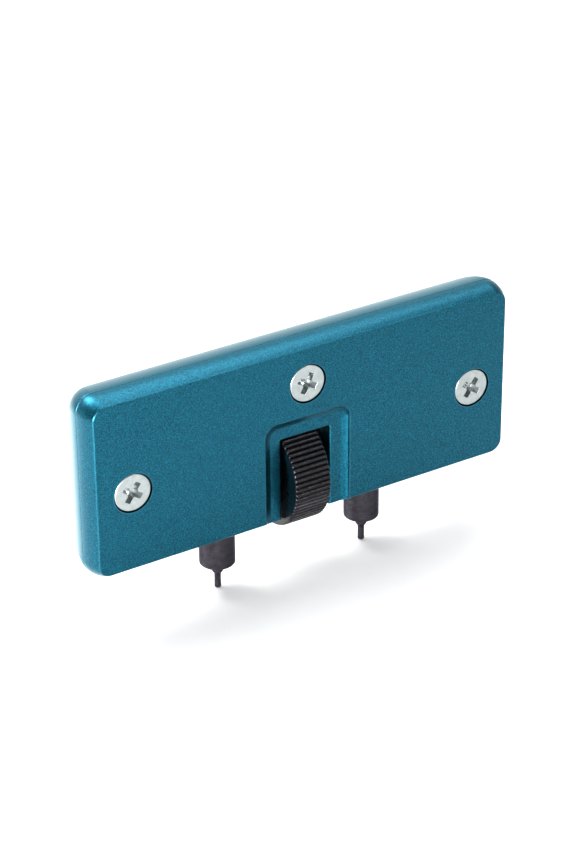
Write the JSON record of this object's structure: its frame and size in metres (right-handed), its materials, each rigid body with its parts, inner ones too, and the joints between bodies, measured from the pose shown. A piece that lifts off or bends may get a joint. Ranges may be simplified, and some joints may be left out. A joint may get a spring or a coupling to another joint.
{
  "type": "adjustable case back opener",
  "caption": "Hand-held watch case back opener: a flat painted body with a ridged wheel that spreads or closes pinned jaws along a lead screw.",
  "frame": {"origin": "level with the tips of the two pins, below the lead screw and on the body's middle plane", "axes": "+X along the lead screw towards the right jaw, +Y from the front cover to the rear housing, +Z from the pin tips up to the body"},
  "size_m": [0.072, 0.0168, 0.0397],
  "materials": {
    "body_paint": "metallic blue paint with a fine flake",
    "zinc_plate": "bright zinc plate",
    "black_steel": "black oxide, turned",
    "wheel_black": "black oxide, straight ridges",
    "bright_steel": "turned",
    "brass": "machined"
  },
  "bodies": {
    "housing": {"front_cover": "body_paint", "rear_housing": "body_paint", "screw_left": "zinc_plate", "screw_top": "zinc_plate", "screw_right": "zinc_plate", "dowel_left": "bright_steel", "dowel_right": "bright_steel", "bush_inner_left": "brass", "bush_inner_right": "brass", "bush_outer_left": "brass", "bush_outer_right": "brass"},
    "spindle": {"lead_screw": "bright_steel", "adjusting_wheel": "wheel_black", "wheel_pin": "bright_steel"},
    "left_jaw": {"jaw_nut_left": "brass", "jaw_post_left": "black_steel", "jaw_pin_left": "black_steel"},
    "right_jaw": {"jaw_nut_right": "brass", "jaw_post_right": "black_steel", "jaw_pin_right": "black_steel"}
  },
  "joints": [
    {"name": "wheel_turn", "type": "hinge", "parent": "housing", "child": "spindle", "pos_m": [0, 0, 0.01714], "axis": [1, 0, 0], "range_deg": [-1080, 5220]},
    {"name": "left_jaw_slide", "type": "slide", "parent": "housing", "child": "left_jaw", "axis": [-1, 0, 0], "range_m": [-0.00301, 0.01451]},
    {"name": "right_jaw_slide", "type": "slide", "parent": "housing", "child": "right_jaw", "axis": [1, 0, 0], "range_m": [-0.00301, 0.01451]}
  ],
  "couplings": [
    {"joint": "wheel_turn", "follows": "left_jaw_slide", "rad_per_m": 6283.2},
    {"joint": "right_jaw_slide", "follows": "left_jaw_slide", "ratio": 1}
  ]
}
